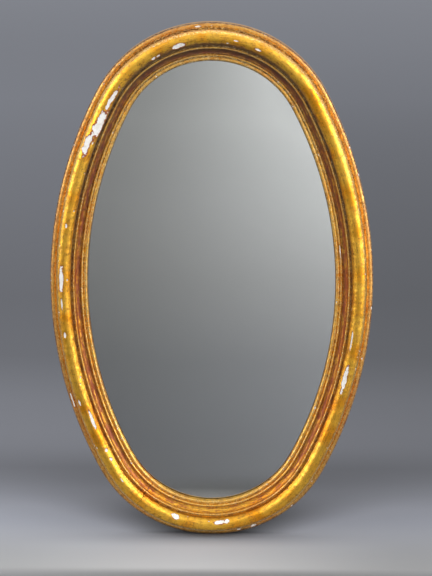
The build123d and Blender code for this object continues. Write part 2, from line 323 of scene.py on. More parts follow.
def spin_quarter(steps_up_side, steps_round_end):
    """Spins the mesh that is being edited up one side arc and on to the top of the oval."""
    bpy.ops.mesh.select_all(action="SELECT")
    bpy.ops.mesh.spin(steps=steps_up_side, angle=join_angle, center=side_centre, axis=(0, 1, 0))
    end_angle = math.pi / 2 - join_angle
    bpy.ops.mesh.spin(steps=steps_round_end, angle=end_angle, center=end_centre, axis=(0, 1, 0))


line = [Vector((half_width - reach * MM, -rise * MM, middle_height)) for reach, rise in section]
first_quarter = draw_line("gilding_upper_right", line)
note_section(first_quarter)
bpy.ops.object.mode_set(mode="EDIT")
spin_quarter(side_steps, end_steps)
bpy.ops.object.mode_set(mode="OBJECT")
face_out(first_quarter)


def mirrored(piece, name, sideways, upside_down):
    """A copy with its own mesh, mirrored about the middle of the oval."""
    take(piece)
    bpy.ops.object.duplicate()
    copy = bpy.context.object
    copy.name = copy.data.name = name
    if sideways:
        copy.scale.x = -1
    if upside_down:
        copy.scale.z = -1
        copy.location.z = 2 * middle_height
    bpy.ops.object.transform_apply(location=True, rotation=True, scale=True)
    face_out(copy)
    return copy


quarters = {
    "moulding_upper_right": first_quarter,
    "moulding_upper_left": mirrored(first_quarter, "gilding_upper_left", True, False),
    "moulding_lower_right": mirrored(first_quarter, "gilding_lower_right", False, True),
    "moulding_lower_left": mirrored(first_quarter, "gilding_lower_left", True, True),
}
print({name: len(piece.data.polygons) for name, piece in quarters.items()})

# %% [markdown]
# ## Coordinates that run with the moulding
# Brush marks, leaf and cracks follow the frame round, so the material needs coordinates that do
# the same. Each vertex gets its distance round the oval, wrapped on to a circle so that it closes
# without a seam, and its distance across the section.

# %% Work out the way round
oval_length = 4 * quarter_length
wrap_radius = oval_length / (2 * math.pi)


def way_round(places):
    """The distance round the outer edge, clockwise from the top, for rows of places."""
    x = np.abs(places[:, 0])
    z = np.abs(places[:, 2] - middle_height)
    side_turn = np.arctan2(z, x + side_offset)
    end_turn = np.arctan2(z - end_offset, x)
    on_side = side_turn <= join_angle
    from_side = np.where(
        on_side,
        side_radius * side_turn,
        side_radius * join_angle + end_radius * (end_turn - join_angle),
    )
    from_top = np.where(
        places[:, 2] >= middle_height, quarter_length - from_side, quarter_length + from_side
    )
    return np.where(places[:, 0] >= 0, from_top, oval_length - from_top)


def value_of(piece, name):
    """The stored numbers of one attribute."""
    values = np.empty(len(piece.data.vertices), np.float32)
    piece.data.attributes[name].data.foreach_get("value", values)
    return values


for piece in quarters.values():
    way = way_round(vertex_places(piece))
    turn = way / wrap_radius
    across = value_of(piece, "across")
    add_vector(piece, "run", np.stack(
        (wrap_radius * np.cos(turn), wrap_radius * np.sin(turn), across), axis=1
    ))
print(f"the outer edge is {oval_length:.3f} m long")

# %% [markdown]
# ## The hand of the gilder
# Gesso is brushed on in many coats and rubbed down by hand, so no line of an old frame is as even
# as a machine would make it. Two Displace modifiers with soft clouds do this: one slow wave of a
# hand's width, one small ripple. They only ever sink the surface, so that it stays inside the
# size of the construction, and a vertex group keeps the flat underside flat.

# %% Make the surface slightly uneven
settle_start, settle_height = 0.5, 4.0
lightest_weight = 0.004
slow_depth, small_depth = 0.7 * MM, 0.75 * MM


def weigh_vertices(piece, name, weights):
    """A vertex group with one weight per vertex, leaving out what is next to nothing."""
    group = piece.vertex_groups.new(name=name)
    for index in np.nonzero(weights > lightest_weight)[0]:
        group.add([int(index)], float(weights[index]), "REPLACE")


def clouds(name, size):
    """Soft three-dimensional clouds of about this size in metres."""
    texture = bpy.data.textures.new(name, "CLOUDS")
    texture.noise_scale = size
    return texture


slow_clouds = clouds("slow waves", 0.045)
small_clouds = clouds("small ripples", 0.009)
for piece in quarters.values():
    rise = -vertex_places(piece)[:, 1] / MM
    over_back = rise - back_rise - settle_start
    weigh_vertices(piece, "skin", np.clip(over_back / settle_height, 0, 1))
    for texture, depth in ((slow_clouds, slow_depth), (small_clouds, small_depth)):
        apply_modifier(
            piece, "DISPLACE", texture=texture, texture_coords="LOCAL",
            mid_level=1.0, strength=depth, vertex_group="skin",
        )
print(f"sunk by up to {(slow_depth + small_depth) / MM:.2f} mm")

# %% [markdown]
# ## Chips in the gesso
# Where an old frame has been knocked, leaf, bole and part of the gesso are gone and the white
# gesso shows. A chip is a real dent with a broken edge. Each one is written as a place (turn, as
# degrees of the way round clockwise from the top, and the distance across the section) and a
# size. The larger ones sit where the photograph shows them. Small nicks are then strewn over the
# high places, with a fixed seed, because a bare list would leave the far sides too clean.
#
# For every vertex a number called loss is worked out, above zero inside a chip and below zero
# outside. The dent uses it as a weight, and the material later draws a crisp, ragged edge where
# it passes zero, finer than the mesh itself could.

# %% List the chips
chips = [
    # turn, across mm, length mm, width mm
    (310.4, 44.0, 36, 11),
    (316.5, 51.7, 45, 16),
    (324.3, 50.8, 42, 7),
    (350.4, 50.8, 20, 9),
    (341.9, 54.7, 8, 4),
    (343.5, 54.7, 7, 3),
    (356.5, 8.2, 10, 3),
    (7.2, 45.9, 7, 2),
    (14.1, 48.8, 9, 3),
    (272.6, 43.0, 40, 7),
    (265.8, 43.0, 16, 2.5),
    (287.4, 44.9, 6, 3),
    (257.1, 43.0, 9, 4),
    (238.1, 6.4, 24, 3),
    (237.4, 41.0, 13, 3),
    (231.5, 51.8, 33, 5),
    (222.2, 52.7, 6, 5),
    (219.3, 52.7, 7, 5),
    (212.1, 49.8, 9, 2),
    (191.7, 53.7, 14, 9),
    (177.3, 52.7, 20, 7),
    (175.1, 53.7, 8, 7),
    (168.0, 6.4, 10, 4),
    (172.3, 6.4, 6, 3),
    (116.0, 50.8, 40, 7),
    (104.7, 52.7, 32, 2.5),
    (126.9, 97.6, 4, 2.5),
    (79.7, 90.8, 26, 1.8),
]
rng = np.random.default_rng(31)
nick_count = 90
nick_lines = (2.5, 7.5, 36.0, 54.0, 60.0, 91.0, 99.0)
for _ in range(nick_count):
    chips.append((
        rng.uniform(0, 360),
        rng.choice(nick_lines) + rng.normal(0, 1.2),
        rng.uniform(1.5, 4.5),
        rng.uniform(1.2, 2.2),
    ))
print(len(chips), "chips and nicks")

# %% Work out the loss and press the dents in
far_outside = -1.5
noise_reach = 2.4
chip_depth = 0.9 * MM
wall_steepness, wall_start = 4, 0.3
coarse_size, fine_size = 6.0 * MM, 2.3 * MM


def ragged(place):
    """Two sizes of noise for the broken edge of a chip, as a share of its half width."""
    coarse = noise.noise(Vector(place) / coarse_size)
    fine = noise.noise(Vector(place) / fine_size)
    return 0.45 * coarse + 0.3 * fine


for piece in quarters.values():
    places = vertex_places(piece)
    way = way_round(places)
    across = value_of(piece, "across").astype(float)
    loss = np.full(len(places), far_outside)
    for turn, place_across, length, width in chips:
        along = (way - turn / 360 * oval_length + oval_length / 2) % oval_length - oval_length / 2
        off_line = across - place_across * MM
        apart = np.hypot(along / (length * MM / 2), off_line / (width * MM / 2))
        for index in np.nonzero(apart < noise_reach)[0]:
            inside = 1 - apart[index] + ragged(places[index])
            loss[index] = max(loss[index], inside)
    add_value(piece, "loss", np.clip(loss, far_outside, 1))
    weigh_vertices(piece, "dent", np.clip(loss * wall_steepness + wall_start, 0, 1))
    apply_modifier(piece, "DISPLACE", mid_level=0.0, strength=-chip_depth, vertex_group="dent")
    print(piece.name, "vertices in chips:", int((loss > 0).sum()))

# %% [markdown]
# ## Painted shade on the undersides
# Wherever the moulding faces down, inside the top of the oval and under its foot, a painted shade
# darkens it, as these faces turn away from the light. A number for that can be read from the shape
# itself, as the downward part of each vertex normal.

# %% Note which way is down
for piece in quarters.values():
    normals = np.empty(len(piece.data.vertices) * 3, np.float32)
    piece.data.vertices.foreach_get("normal", normals)
    # painted shade: the downward part of each normal
    downward = np.clip(-normals.reshape(-1, 3)[:, 2], 0, 1)
    add_value(piece, "soot", downward)
print("soot noted")

# %% [markdown]
# ## Close the ends and hand the quarters over
# Each quarter was open at both ends while the modifiers worked, so that its last ring moved like
# the rest. Now the holes are filled, so that every piece is a closed body like its sawn original.
# Smooth shading by angle keeps the long curves soft and the ends of a quarter sharp. Then each
# quarter rides on the frame body and stands for its plain construction piece.

# %% Finish the quarters
def finish_piece(piece, body, stands_for, sharp_from=40):
    """Shades a piece, lets it ride on its body and hides the construction piece it stands for."""
    take(piece)
    bpy.ops.object.shade_smooth_by_angle(angle=math.radians(sharp_from))
    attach(piece, body)
    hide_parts(stands_for)


for node, piece in quarters.items():
    take(piece)
    bpy.ops.object.mode_set(mode="EDIT")
    bpy.ops.mesh.select_all(action="SELECT")
    bpy.ops.mesh.fill_holes(sides=0)
    bpy.ops.object.mode_set(mode="OBJECT")
    piece.vertex_groups.clear()
    finish_piece(piece, "frame", node)
print("four closed quarters")

# %% [markdown]
# ## The glass and its silver
# The pane is a thin oval plate with a narrow ground edge. The silver is a much thinner oval on its
# back. The two would share a surface, and a ray that meets two surfaces at once picks one of them
# at random, so the silver reaches a twentieth of a millimetre into the glass. Both are shaded
# sharp at their edges: a soft edge would tilt the normals of the whole flat face and bend
# everything that the mirror shows.

# %% Model an oval plate
edge_steps = 64
meeting_point = 0.01 * MM


def oval_plate(name, inset, front, back):
    """A closed oval plate between two depths, a distance in from the outer edge."""
    start = Vector((half_width - inset, front, middle_height))
    piece = draw_line(name, [start])
    bpy.ops.object.mode_set(mode="EDIT")
    spin_quarter(edge_steps, edge_steps)
    for turn_over in ((-1, 1, 1), (1, 1, -1)):
        bpy.ops.mesh.select_all(action="SELECT")
        bpy.ops.mesh.duplicate()
        bpy.ops.transform.resize(value=turn_over, center_override=(0, 0, middle_height))
    bpy.ops.mesh.select_all(action="SELECT")
    bpy.ops.mesh.remove_doubles(threshold=meeting_point)
    bpy.ops.mesh.edge_face_add()
    bpy.ops.mesh.extrude_region_move(TRANSFORM_OT_translate={"value": (0, back - front, 0)})
    bpy.ops.object.mode_set(mode="OBJECT")
    face_out(piece)
    return piece


glass_low, glass_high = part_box("mirror_glass")
silver_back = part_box("silvering")[1].y
glass_inset = half_width - glass_high.x
ground_edge = 0.5 * MM
pane = oval_plate("glass_pane", glass_inset, glass_low.y, glass_high.y)
apply_modifier(pane, "BEVEL", width=ground_edge, segments=2, limit_method="ANGLE")
finish_piece(pane, "frame", "mirror_glass", sharp_from=15)

silver_bite = 0.05 * MM
silver_margin = 0.8 * MM
silver = oval_plate(
    "silver_coat", glass_inset + silver_margin, glass_high.y - silver_bite, silver_back
)
finish_piece(silver, "frame", "silvering", sharp_from=15)
print("pane", len(pane.data.polygons), "faces; silver", len(silver.data.polygons), "faces")

# %% [markdown]
# ## A short way to write materials
# A material is a small network of nodes. Written out in full, each node takes five lines, which
# hides the recipe. This helper keeps one material and offers the few steps that all recipes
# here use: noise, a soft threshold, a blend of two colours or numbers, arithmetic and a bump.

# %% Recipe helper
class Recipe:
    """One procedural material, built step by step."""

    def __init__(self, name, roughness=0.5, metallic=0.0):
        self.material = bpy.data.materials.new(name)
        self.material.use_nodes = True
        self.tree = self.material.node_tree
        self.shader = self.tree.nodes["Principled BSDF"]
        self.shader.inputs["Roughness"].default_value = roughness
        self.shader.inputs["Metallic"].default_value = metallic

    def node(self, kind, inputs=None, **settings):
        """Adds a node, with plain values or links on its named or numbered inputs."""
        node = self.tree.nodes.new(kind)
        for name, value in settings.items():
            setattr(node, name, value)
        for name, value in (inputs or {}).items():
            self.put(node.inputs[name], value)
        return node

    def put(self, socket, value):
        """Links another node's output to a socket, or sets the socket's own value."""
        if isinstance(value, bpy.types.NodeSocket):
            self.tree.links.new(value, socket)
        elif isinstance(value, tuple) and len(socket.default_value) == 4:
            socket.default_value = (*value, 1.0)
        else:
            socket.default_value = value

    def shade(self, name, value):
        """Sets or links one input of the surface shader."""
        self.put(self.shader.inputs[name], value)

    def attribute(self, name, output="Fac"):
        """Reads a number or a vector stored on the mesh."""
        return self.node("ShaderNodeAttribute", attribute_name=name).outputs[output]

    def place(self):
        """The point on the piece itself."""
        return self.node("ShaderNodeTexCoord").outputs["Object"]

    def stretched(self, where, scale):
        """The place scaled differently in each direction, to draw a pattern out."""
        scaled = self.node("ShaderNodeVectorMath", {0: where, 1: scale}, operation="MULTIPLY")
        return scaled.outputs[0]

    def noise(self, where, scale, detail=3.0, roughness=0.55, distortion=0.0):
        """Soft noise between nought and one."""
        return self.node("ShaderNodeTexNoise", {
            "Vector": where, "Scale": scale, "Detail": detail,
            "Roughness": roughness, "Distortion": distortion,
        }).outputs["Fac"]

    def math(self, operation, first, second=0.0):
        """One step of arithmetic on one or two numbers."""
        return self.node("ShaderNodeMath", {0: first, 1: second}, operation=operation).outputs[0]

    def plus(self, first, second):
        """The sum of two numbers."""
        return self.math("ADD", first, second)

    def times(self, first, second):
        """The product of two numbers."""
        return self.math("MULTIPLY", first, second)

    def between(self, value, low, high, start=0.0, end=1.0):
        """Nought below one level, one above another, and soft between."""
        return self.node("ShaderNodeMapRange", {
            "Value": value, "From Min": low, "From Max": high, "To Min": start, "To Max": end,
        }, interpolation_type="SMOOTHSTEP").outputs["Result"]

    def blend(self, amount, first, second):
        """A number between two others."""
        return self.node("ShaderNodeMix", {"Factor": amount, "A": first, "B": second}).outputs[0]

    def mix(self, amount, first, second):
        """A colour between two others."""
        node = self.node("ShaderNodeMix", data_type="RGBA")
        self.put(node.inputs[0], amount)
        self.put(node.inputs[6], first)
        self.put(node.inputs[7], second)
        return node.outputs[2]

    def bump(self, height, depth, under=None):
        """Turns a height into tilted normals, on top of an earlier bump if there is one."""
        inputs = {"Height": height, "Distance": depth, "Strength": 1.0}
        if under is not None:
            inputs["Normal"] = under
        return self.node("ShaderNodeBump", inputs).outputs["Normal"]


def plain(red, green, blue):
    """A screen colour out of 255 as the linear light that shaders expect."""
    shares = (red / 255, green / 255, blue / 255)
    return tuple(c / 12.92 if c <= 0.04045 else ((c + 0.055) / 1.055) ** 2.4 for c in shares)


def paint(node, material):
    """Gives a construction piece its finish."""
    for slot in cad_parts[node].material_slots:
        slot.material = material


print("recipe helper ready")

# %% [markdown]
# ## Water gilding
# Water gilding is built up in layers: white gesso, then bole, a red clay, then gold leaf thinner
# than a breath, burnished with an agate. Age takes it off in the opposite order. So the material
# starts with gold in two tones. It turns pinkish where the leaf has worn thin and brown where it
# is tarnished. Then come red bole in streaks that run along the moulding, brown dirt with painted
# shade in the quirks, painted shade under the overhangs, dark specks, and bright crumbs on the
# edges. The stored notes steer how much of each shows, and noise breaks their edges up. Bole and
# dirt fade towards the foot, where the gold is brightest: this paints the foot lighter and the top
# darker, as the light falls.

# %% Mix the water gilding
gilding = Recipe("water_gilding")
run = gilding.attribute("run", "Vector")
here = gilding.place()
height = gilding.node("ShaderNodeSeparateXYZ", {0: here}).outputs["Z"]

long_streaks = gilding.noise(gilding.stretched(run, (45, 45, 420)), 1.0, 4.0, 0.6)
short_streaks = gilding.noise(gilding.stretched(run, (170, 170, 900)), 1.0, 3.0, 0.6)
crumbs = gilding.noise(gilding.stretched(run, (380, 380, 900)), 1.0, 2.0, 0.5)
slow_tone = gilding.noise(here, 22.0, 2.0)
mottle = gilding.noise(here, 160.0, 4.0, 0.65)
fine_grain = gilding.noise(here, 900.0, 3.0, 0.6)
specks = gilding.noise(here, 520.0, 2.0, 0.5)
streaks = gilding.plus(long_streaks, gilding.times(short_streaks, 0.6))

# painted light by height: less bole and dirt towards the foot, so the foot is lighter and the top
# darker
foot, over_the_foot, shoulder = -0.78, -0.62, -0.10
bole_thinned_by_painted_light = gilding.between(height, foot, over_the_foot, 0.5, 1.08)
bole = gilding.times(gilding.attribute("bole"), bole_thinned_by_painted_light)
painted_shade_by_height = gilding.between(height, foot, shoulder, 0.4, 1.15)
# painted shade where the moulding faces down
soot = gilding.times(gilding.attribute("soot"), 0.85)
dirt = gilding.plus(gilding.times(gilding.attribute("dirt"), painted_shade_by_height), soot)
thin = gilding.attribute("thin")

wear = gilding.plus(bole, gilding.times(streaks, 0.9))
bole_shows = gilding.between(wear, 0.82, 1.22)
rubbing = gilding.plus(gilding.times(thin, 0.6), gilding.times(mottle, 0.8))
thin_shows = gilding.between(rubbing, 0.42, 0.95)
# dirt together with painted shade in the quirks and under the overhangs
grime_and_shade = gilding.plus(dirt, gilding.times(mottle, 0.55))
grime_and_shade_shows = gilding.between(grime_and_shade, 0.45, 1.15)
cloudy = gilding.plus(gilding.times(streaks, 0.4), gilding.times(mottle, 0.6))
tarnish_shows = gilding.between(cloudy, 0.58, 0.80)
dark_specks = gilding.between(gilding.plus(specks, gilding.times(dirt, 0.12)), 0.62, 0.70)
bright_specks = gilding.times(gilding.between(crumbs, 0.53, 0.58), gilding.between(thin, 0.15, 0.35))
bright_specks = gilding.times(bright_specks, gilding.between(thin, 0.52, 0.70, 1.0, 0.35))

bright_gold = plain(255, 197, 68)
deep_gold = plain(247, 162, 24)
worn_pink = plain(216, 148, 84)
tarnished = plain(168, 116, 46)
crumb_gold = plain(255, 228, 160)
red_bole = plain(156, 74, 36)
# brown of old dirt, also used as painted shade
dirt_and_shade_brown = plain(58, 32, 15)
bare_gesso = plain(252, 249, 243)
dusty_gesso = plain(230, 218, 198)

layers = (
    # where it shows, how much of it, colour
    (thin_shows, 0.8, worn_pink),
    (tarnish_shows, 0.7, tarnished),
    (bole_shows, 1.0, red_bole),
    # dirt and painted shade
    (grime_and_shade_shows, 0.88, dirt_and_shade_brown),
    (dark_specks, 0.5, dirt_and_shade_brown),
    (bright_specks, 0.8, crumb_gold),
)
colour = gilding.mix(gilding.between(slow_tone, 0.30, 0.58), deep_gold, bright_gold)
for shows, strength, tint in layers:
    colour = gilding.mix(gilding.times(shows, strength), colour, tint)
print(len(layers), "layers over the gold")

# %% Draw hairline cracks across the moulding
run_parts = gilding.node("ShaderNodeSeparateXYZ", {0: run})
turn_here = gilding.math("ARCTAN2", run_parts.outputs["Y"], run_parts.outputs["X"])
way_here = gilding.times(turn_here, wrap_radius)
across_here = run_parts.outputs["Z"]
wiggle = gilding.times(gilding.math("SUBTRACT", gilding.noise(here, 150.0, 3.0), 0.5), 6 * MM)
crack_width = 0.4 * MM
crack_fade = 3
hairlines = (
    # turn in degrees from the top, where it starts and ends across the section, in mm
    (12.0, 58.0, 104.0),
    (-156.5, 38.0, 96.0),
)


def hairline(turn, start, end):
    """A thin crooked line across the moulding, as nought to one."""
    off = gilding.math("SUBTRACT", way_here, math.radians(turn) * wrap_radius)
    off = gilding.math("ABSOLUTE", gilding.plus(off, wiggle))
    line = gilding.between(off, crack_width / 2, crack_width * 1.5, 1.0, 0.0)
    begun = gilding.between(across_here, start * MM, (start + crack_fade) * MM)
    ended = gilding.between(across_here, (end - crack_fade) * MM, end * MM, 1.0, 0.0)
    return gilding.times(line, gilding.times(begun, ended))


cracked = 0.0
for turn, start, end in hairlines:
    cracked = gilding.math("MAXIMUM", hairline(turn, start, end), cracked)
colour = gilding.mix(gilding.times(cracked, 0.8), colour, dirt_and_shade_brown)
print(len(hairlines), "cracks")

# %% Bare the gesso in the chips and set the shine
ragged_loss = gilding.plus(gilding.attribute("loss"), gilding.times(fine_grain, 0.24))
rim = gilding.between(ragged_loss, -0.12, 0.02)
bare = gilding.between(ragged_loss, 0.10, 0.16)
colour = gilding.mix(rim, colour, red_bole)
gesso_tone = gilding.mix(gilding.between(mottle, 0.45, 0.75), bare_gesso, dusty_gesso)
gilding.shade("Base Color", gilding.mix(bare, colour, gesso_tone))

not_gold = gilding.math("MAXIMUM", gilding.times(bole_shows, 0.5), grime_and_shade_shows)
not_gold = gilding.math("MAXIMUM", not_gold, gilding.times(thin_shows, 0.22))
not_gold = gilding.math("MAXIMUM", not_gold, rim)
gilding.shade("Metallic", gilding.between(not_gold, 0.0, 1.0, 1.0, 0.0))
leaf_roughness = gilding.between(mottle, 0.3, 0.75, 0.34, 0.54)
roughness = gilding.plus(leaf_roughness, gilding.times(not_gold, 0.2))
gilding.shade("Roughness", gilding.math("MAXIMUM", roughness, gilding.times(bare, 0.85)))
gilding.shade("Coat Weight", 0.22)
gilding.shade("Coat Roughness", 0.28)

brushed = gilding.bump(streaks, 0.16 * MM)
grained = gilding.bump(gilding.plus(fine_grain, mottle), 0.22 * MM, brushed)
split = gilding.bump(gilding.times(cracked, -1.0), 0.25 * MM, grained)
chipped = gilding.bump(gilding.times(bare, -1.0), 0.35 * MM, split)
gilding.shade("Normal", chipped)
for piece in quarters.values():
    piece.data.materials.append(gilding.material)
print(len(gilding.tree.nodes), "nodes in the water gilding")

# %% [markdown]
# ## Clear glass over silver
# Old plate glass is nearly clear, with a faint green from iron. The silver behind it gives back
# about four fifths of the light, a little less than a new mirror. Plain values are set right on
# the shader.

# %% Glass and silver
clear_glass = Recipe("old_plate_glass", roughness=0.0)
clear_glass.shade("Base Color", (0.95, 0.97, 0.96))
clear_glass.shade("Transmission Weight", 1.0)
clear_glass.shade("IOR", 1.5)
pane.data.materials.append(clear_glass.material)

silvering = Recipe("silvering", roughness=0.01, metallic=1.0)
tarnish = silvering.noise(silvering.place(), 900.0, 4.0, 0.6)
silver_tone = silvering.mix(
    silvering.between(tarnish, 0.35, 0.75), plain(229, 228, 225), plain(225, 224, 220)
)
silvering.shade("Base Color", silver_tone)
silver.data.materials.append(silvering.material)
print("mirror finished")

# %% [markdown]
# ## Old pine, hardwood and paper
# The back of such a frame is never gilded. The ring is pine gone brown with age and handling,
# with a wash of yellow ochre on the edge that can be seen from the side. A plank shows the growth
# rings of its tree, cut lengthways. So the recipe draws rings round the heart of the tree, a few
# centimetres from the face and leaning a little: near the heart they come out as wide arches,
# further off as narrow lines. Each plank has its own heart, because planks that match exactly
# look printed.

# %% Wood recipe
wave_factor = 20


def wood(node, pale, dark, along, heart, ring_gap=3.2, roughness=0.72, ochre_edge=False):
    """Paints a node as a plank cut beside the heart of its tree, which runs along one axis.

    The Wave texture draws one ring each time its distance times the wave factor times its scale
    has grown by a full turn.
    """
    recipe = Recipe(node + "_wood")
    low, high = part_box(node)
    middle = (low + high) / 2
    long_way, lean = {
        "x": ((12.0, 1.0, 1.0), (0.0, 0.02, 0.05)),
        "z": ((1.0, 1.0, 12.0), (0.05, 0.02, 0.0)),
    }[along]
    here = recipe.place()
    from_heart = recipe.node("ShaderNodeMapping", {
        "Vector": here, "Location": tuple(middle + Vector(heart) * MM),
        "Rotation": lean, "Scale": long_way,
    }, vector_type="TEXTURE").outputs[0]
    rings = recipe.node("ShaderNodeTexWave", {
        "Vector": from_heart, "Scale": 2 * math.pi / (wave_factor * ring_gap * MM), "Distortion": 5.0,
        "Detail": 3.0, "Detail Scale": 0.35, "Detail Roughness": 0.55,
    }, wave_type="RINGS", rings_direction=along.upper(), wave_profile="SAW").outputs["Fac"]
    fibres = recipe.noise(recipe.stretched(from_heart, (1100, 1100, 1100)), 1.0, 4.0, 0.7)
    late_wood = recipe.between(rings, 0.45, 1.0, 0.0, 0.7)
    tone = recipe.plus(late_wood, recipe.times(fibres, 0.55))
    colour = recipe.mix(recipe.between(tone, 0.15, 1.15), pale, dark)
    age = recipe.between(recipe.noise(here, 7.0, 4.0, 0.6), 0.38, 0.72)
    colour = recipe.mix(recipe.times(age, 0.35), colour, tuple(0.5 * c for c in dark))
    if ochre_edge:
        facing = recipe.node("ShaderNodeNewGeometry").outputs["True Normal"]
        facing_parts = recipe.node("ShaderNodeSeparateXYZ", {0: facing})
        squarely = recipe.math("ABSOLUTE", facing_parts.outputs["Y"])
        wash = recipe.between(recipe.noise(here, 60.0, 3.0), 0.25, 0.6)
        on_edge = recipe.times(recipe.between(squarely, 0.2, 0.6, 1.0, 0.0), wash)
        colour = recipe.mix(recipe.times(on_edge, 0.8), colour, plain(166, 122, 66))
    recipe.shade("Base Color", colour)
    rough_sawn = recipe.bump(fibres, 0.22 * MM)
    recipe.shade("Normal", recipe.bump(rings, 0.08 * MM, rough_sawn))
    recipe.shade("Roughness", recipe.between(fibres, 0.3, 0.8, roughness - 0.1, roughness + 0.15))
    paint(node, recipe.material)


pale_pine, dark_pine = plain(202, 158, 106), plain(150, 102, 58)
wood("back_ring_top", pale_pine, dark_pine, "x", (40, 70, -60), ochre_edge=True)
wood("back_ring_bottom", pale_pine, dark_pine, "x", (-30, 55, 90), ochre_edge=True)
wood("back_ring_left", pale_pine, dark_pine, "z", (-60, 60, 0), ochre_edge=True)
wood("back_ring_right", pale_pine, dark_pine, "z", (85, 45, 0), ochre_edge=True)
pale_board, dark_board = plain(216, 180, 130), plain(172, 126, 78)
wood("backing_board_1", pale_board, dark_board, "z", (22, 48, 0), ring_gap=3.8, roughness=0.8)
wood("backing_board_2", pale_board, dark_board, "z", (-14, 38, 0), ring_gap=3.4, roughness=0.8)
wood("backing_board_3", pale_board, dark_board, "z", (-70, 60, 0), ring_gap=3.0, roughness=0.8)
pale_oak, dark_oak = plain(160, 118, 74), plain(104, 70, 40)
wood("lap_pegs", pale_oak, dark_oak, "x", (0, 30, 20), ring_gap=1.6, roughness=0.6)
wood("joint_splines", pale_oak, dark_oak, "x", (0, 30, 60), ring_gap=1.6, roughness=0.6)
pale_slip, dark_slip = plain(204, 168, 116), plain(160, 118, 70)
wood("edge_shims", pale_slip, dark_slip, "z", (80, 30, 0), ring_gap=2.0, roughness=0.8)

paper = Recipe("rag_paper", roughness=0.9)
pulp = paper.noise(paper.place(), 260.0, 5.0, 0.7)
age_spots = paper.between(paper.noise(paper.place(), 24.0, 4.0, 0.6), 0.55, 0.75)
paper_tone = paper.mix(pulp, plain(196, 178, 142), plain(172, 150, 112))
spotted = paper.mix(paper.times(age_spots, 0.5), paper_tone, plain(126, 92, 56))
paper.shade("Base Color", spotted)
paper.shade("Normal", paper.bump(pulp, 0.08 * MM))
paint("backing_paper", paper.material)
print("wood and paper finished")

# %% [markdown]
# ## Iron, brass and steel
# The brads are cut iron, brown with old rust. The hanging plate and its ring are brass, still
# yellow in places and gone brown in others. The screws are steel with turned heads. Each metal
# mixes a bright and a dull state by noise, and the dull state is also rougher and less metallic.

# %% Metal recipe
def old_metal(name, bright, dull, dullness, grain_scale, smooth):
    """A metal that has partly gone dull. Smooth is the roughness where it is still bright."""
    recipe = Recipe(name)
    here = recipe.place()
    cloud = recipe.noise(here, grain_scale, 5.0, 0.65)
    grain = recipe.noise(here, grain_scale * 9, 3.0, 0.6)
    low = 0.62 - dullness * 0.35
    worn = recipe.plus(cloud, recipe.times(grain, 0.25))
    gone = recipe.between(worn, low, low + 0.3)
    recipe.shade("Base Color", recipe.mix(gone, bright, dull))
    recipe.shade("Metallic", recipe.between(gone, 0.0, 1.0, 1.0, 0.35))
    recipe.shade("Roughness", recipe.between(gone, 0.0, 1.0, smooth, 0.72))
    recipe.shade("Normal", recipe.bump(recipe.plus(cloud, grain), 0.06 * MM))
    return recipe.material


metals = (
    # node, name, bright colour, dull colour, share gone dull, scale of the grain, roughness
    ("brads", "brad_iron", plain(120, 112, 104), plain(92, 54, 34), 0.8, 260.0, 0.45),
    ("hanger_plate", "plate_brass", plain(226, 188, 112), plain(150, 112, 62), 0.35, 130.0, 0.3),
    ("hanger_ring", "ring_brass", plain(230, 194, 120), plain(156, 118, 66), 0.25, 160.0, 0.28),
    ("hanger_screws", "screw_steel", plain(196, 194, 188), plain(120, 104, 86), 0.35, 300.0, 0.3),
)
for node, *mixture in metals:
    paint(node, old_metal(*mixture))
print("metal finished")

# %% [markdown]
# ## A floor that is its own backdrop
# The camera looks down on the mirror so far that it never sees a horizon: a single large floor
# fills the picture behind the mirror, and the same floor, seen in the glass, fills the mirror.
# Its grey is plain near the mirror. Further off it is painted darker and lighter again in slow
# steps, as paper does on the way out of the light, with a painted band of light just in front of
# the foot. The steps are written by the distance behind (plus) or in front of (minus) the mirror,
# together with how cool the grey is there.

# %% Lay the floor
floor_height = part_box("moulding_lower_right")[0].z
bpy.ops.object.select_all(action="DESELECT")
bpy.ops.mesh.primitive_plane_add(size=60, location=(0, 0, floor_height))
floor = bpy.context.object
floor.name = "studio_floor"

painted_floor_tones = (
    # metres behind the mirror, painted shade of grey out of one, how cool the grey is
    (-7.0, 0.69, 0.0),
    (-4.6, 0.61, 0.0),
    (-2.9, 0.40, 0.1),
    (-1.8, 0.232, 0.2),
    (-1.05, 0.145, 0.6),
    (-0.5, 0.122, 0.9),
    (-0.28, 0.122, 0.9),
    (-0.23, 0.105, 0.5),
    (-0.184, 0.125, 0.2),
    (-0.165, 0.290, 0.0),
    (-0.08, 0.270, 0.3),
    (-0.03, 0.265, 0.6),
    (0.0, 0.255, 1.0),
    (0.1, 0.243, 1.0),
    (0.2, 0.162, 1.0),
    (0.31, 0.117, 1.0),
    (0.49, 0.133, 1.0),
    (0.74, 0.122, 1.0),
    (1.05, 0.090, 1.0),
    (1.6, 0.088, 1.0),
    (2.9, 0.124, 1.0),
    (5.2, 0.178, 1.0),
    (10.5, 0.225, 0.9),
)
near_end, far_end = painted_floor_tones[0][0], painted_floor_tones[-1][0]
cool_red, cool_blue = -0.03, 0.13

studio = Recipe("studio_paper", roughness=0.9)
spot = studio.node("ShaderNodeSeparateXYZ", {0: studio.place()})
to_the_right, to_the_back = spot.outputs["X"], spot.outputs["Y"]
from_near_end = studio.math("SUBTRACT", to_the_back, near_end)
share_of_floor = studio.math("DIVIDE", from_near_end, far_end - near_end)
tones = studio.node("ShaderNodeValToRGB", {"Fac": share_of_floor})
stops = tones.color_ramp.elements
stops.remove(stops[1])
for number, (distance, shade, cool) in enumerate(painted_floor_tones):
    share = (distance - near_end) / (far_end - near_end)
    stop = stops[0] if number == 0 else stops.new(share)
    stop.position = share
    stop.color = (shade * (1 + cool_red * cool), shade, shade * (1 + cool_blue * cool), 1.0)
print(len(painted_floor_tones), "tones; floor at", round(floor_height, 3))
